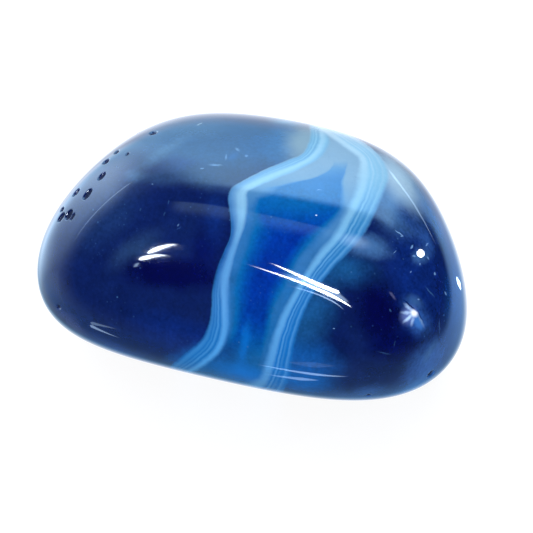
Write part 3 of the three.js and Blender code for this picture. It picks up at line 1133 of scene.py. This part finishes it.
def mark_and_glint_group():
    """How much of a mark, painted glints included, there is at a point: all of it at its middle and none
    outside it.
    """
    nodes, given = new_group("mark_and_painted_glint", "ShaderNodeTree", ("Position", "Middle", "Long side", "Short side"),
                             ("Core", "Strength"))
    offset = nodes.vector("SUBTRACT", given["Position"], given["Middle"])
    depth_reach = 6 * MM
    sides = (given["Long side"], given["Short side"], to_camera / depth_reach)
    reach = nodes.vector("LENGTH", nodes.joined(*(nodes.dot(offset, side) for side in sides)))
    share = nodes.ease(reach, 1.0, given["Core"])
    nodes.give(nodes.result("Share"), nodes.times(share, given["Strength"]))
    return nodes.tree


def marked(nodes, picture, position, colour):
    """Lays the small marks, painted glints and reflections among them, over a colour, one after another."""
    group = mark_and_glint_group()
    size = MM / pixels_per_mm
    for pixel, half_length, half_width, lean, softness, strength, name in marks.values():
        along, across = leaning(lean)
        inputs = {"Position": position, "Middle": picture.hit(pixel)[0], "Core": 1 - softness,
                  "Strength": strength, "Long side": along / (half_length * size),
                  "Short side": across / (half_width * size)}
        colour = nodes.mix(nodes.group(group, inputs), colour, colours[name])
    return colour


def leaning(lean):
    """The directions along and across something that leans up from the picture's right, in degrees."""
    angle = math.radians(lean)
    return (picture_right * math.cos(angle) + picture_up * math.sin(angle),
            picture_up * math.cos(angle) - picture_right * math.sin(angle))


def dust(nodes, position, spacing, size, strength):
    """Pale specks of different strengths, crowded here and there. Spacing and size are in millimetres."""
    cells = nodes.add("ShaderNodeTexVoronoi", {"Vector": position, "Scale": 1 / (spacing * MM)})
    spot = nodes.ease(cells.outputs["Distance"], size / spacing, 0.3 * size / spacing)
    chance = nodes.ease(nodes.part(cells.outputs["Color"], "X"), 0.3, 1.0)
    crowded = nodes.ease(stone_noise(nodes, position, 6.0), -0.3, 0.4)
    return nodes.times(nodes.times(spot, nodes.times(chance, crowded)), strength)


def bundle_across(nodes, inner, outer, wave):
    """The place across a bundle: 0 at its inner edge and 1 at its outer edge."""
    return nodes.plus(nodes.over(inner, nodes.minus(inner, outer)), wave)


def vein_colour(nodes, position, height, left_inner, right_inner):
    """The vein: clear and deep blue in its middle, milky along both bundles, and milkier to its top."""
    share = nodes.over(left_inner, nodes.minus(left_inner, right_inner))
    ragged = nodes.times_plus(stone_noise(nodes, position, 2.0, 3.0), 0.04, share)
    milk = nodes.levels(height, vein_milk, *height_range)
    for way, stops in ((-1, left_milk), (1, right_milk)):
        reach, width, most = (nodes.levels(height, places, *height_range) for places in stops)
        thickening = nodes.ease(ragged, reach, nodes.times_plus(width, way, reach))
        milk = nodes.math("MAXIMUM", milk, nodes.times(thickening, most))
    return nodes.ramp(nodes.times_plus(stone_noise(nodes, position, 3.0, 3.0), 0.08, milk), vein_colours)


def body_colour(nodes, position):
    """The body outside the bundles: nearly black in its depths, with fainter blue clouds."""
    mottled = nodes.times_plus(stone_noise(nodes, position, 2.2, 4.0), 0.12, 0.4)
    return nodes.ramp(nodes.times_plus(stone_noise(nodes, position, 9.0), 0.25, mottled), body_colours)


def left_level(nodes, height, across):
    """How bright the left bundle is across it: fine lines at its foot and its top, and soft between them."""
    soft = nodes.levels(across, left_soft)
    drift = nodes.levels(height, left_drift, *height_range)
    fine = nodes.levels(nodes.plus(across, drift), left_lines, 0.0, 1.3)
    plain = nodes.times(nodes.ease(height, *left_soft_from), nodes.ease(height, *left_soft_to))
    return nodes.blend(plain, fine, soft)


def lined(nodes, height, across, level, dark, bright, ends, colour):
    """Lays a bundle over a colour."""
    darks, brights = (nodes.ramp(height, stops, *height_range) for stops in (dark, bright))
    line = nodes.mix(level, darks, brights)
    inwards, outwards = (nodes.ease(across, end, full) for end, full in zip(ends, bundle_complete))
    return nodes.mix(nodes.times(inwards, outwards), colour, line)


def grained(nodes, position, colour):
    """Gives a colour its grain, which is strongest at the stone's right end and faint where it is milky."""
    grain = 0.0
    for size, detail, stretch, strength in grains:
        grain = nodes.times_plus(stone_noise(nodes, position, size, detail, stretch), strength, grain)
    start, end = grain_from_middle
    busy = nodes.ease(nodes.dot(position, picture_right), start * MM, end * MM, *grain_strengths)
    clear = nodes.ease(nodes.part(colour, "Y"), *milky_green, milky_grain_share, 1.0)
    grain = nodes.times(grain, nodes.times(busy, clear))
    return nodes.scaled(colour, nodes.plus(grain, 1.0))


def dress_stone(material, picture):
    nodes = Nodes(material.node_tree)
    position = nodes.add("ShaderNodeTexCoord").outputs["Object"]
    height = nodes.over(nodes.dot(nodes.vector("SUBTRACT", position, core), picture_up), MM)
    wave = nodes.times(stone_noise(nodes, position, line_wave_size), line_wave_share)
    edges = {name: nodes.stored(name) for name in band_edges}
    left_across = bundle_across(nodes, edges["left_inner"], edges["left_outer"], wave)
    right_across = bundle_across(nodes, edges["right_inner"], edges["right_outer"], wave)

    vein = vein_colour(nodes, position, height, edges["left_inner"], edges["right_inner"])
    past_left = nodes.ease(left_across, *body_past_left)
    outside = nodes.math("MAXIMUM", past_left, nodes.ease(right_across, *body_past_right))
    colour = nodes.mix(outside, vein, body_colour(nodes, position))
    # The clouds' colour, with the painted top light, painted reflections and painted dark reflections among
    # them
    clouds_and_painted_light = nodes.add("ShaderNodeAttribute", attribute_name="clouds").outputs
    colour = nodes.vector("ADD", nodes.scaled(colour, clouds_and_painted_light["Alpha"]), clouds_and_painted_light["Color"])
    for spacing, size, strength, name in dusts:
        colour = nodes.mix(dust(nodes, position, spacing, size, strength), colour, colours[name])
    level = left_level(nodes, height, left_across)
    colour = lined(nodes, height, left_across, level, left_dark, left_bright, left_bundle_ends, colour)
    level = nodes.levels(right_across, right_lines)
    colour = lined(nodes, height, right_across, level, right_dark, right_bright, right_bundle_ends, colour)
    colour = grained(nodes, position, colour)
    ragged = warped(nodes, position, mark_ragged_size, mark_ragged_reach)
    colour = marked(nodes, picture, ragged, colour)

    # The pits are rough, and darkened with painted shade.
    pitted = nodes.ease(nodes.stored("pitted"), *pit_floor)
    shader = material.node_tree.nodes["Principled BSDF"]
    nodes.give(shader.inputs["Base Color"], nodes.mix(pitted, colour, painted_pit_shade))
    roughness = nodes.times_plus(pitted, pit_roughness - polish_roughness, polish_roughness)
    nodes.give(shader.inputs["Roughness"], roughness)
    shader.inputs["IOR"].default_value = stone_ior


stone_material = bpy.data.materials.new("polished_agate")
stone_material.use_nodes = True
stone, core = make_stone(stone_material)
eye = make_camera(core)
picture = Picture(stone, eye)
measure_bands(stone, picture)
spread_clouds_and_painted_light(stone, picture)
dress_stone(stone_material, picture)
Sky(picture).hang()
make_fill()
make_floor()
bpy.context.scene.view_settings.view_transform = "Standard"

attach(stone, "root")
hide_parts("tumbled_agate")
